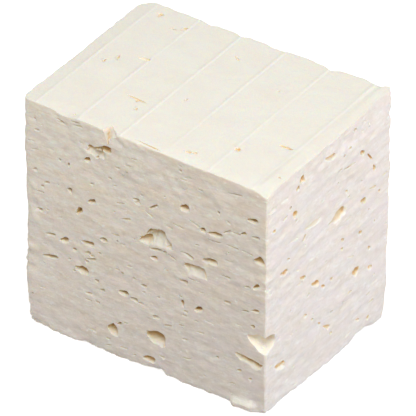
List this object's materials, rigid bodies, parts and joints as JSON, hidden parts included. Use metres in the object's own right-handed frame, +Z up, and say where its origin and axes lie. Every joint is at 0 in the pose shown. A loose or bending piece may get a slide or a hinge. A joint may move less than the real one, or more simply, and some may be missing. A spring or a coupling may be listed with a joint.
{
  "type": "feta cheese block",
  "caption": "Block of white brined feta cheese, cut square, with a ridged pressed top, small whey openings in its sides and crumbled edges.",
  "frame": {"origin": "middle of the block's outline, on the surface that it rests on", "axes": "+Z up, +X along the long cut side, +Y away from the long cut side, so that side faces -Y and the short cut side faces +X"},
  "size_m": [0.1039, 0.0765, 0.0945],
  "materials": {
    "cheese": "matte, slightly moist and translucent"
  },
  "bodies": {
    "root": {"cheese_block": "cheese"}
  },
  "joints": []
}
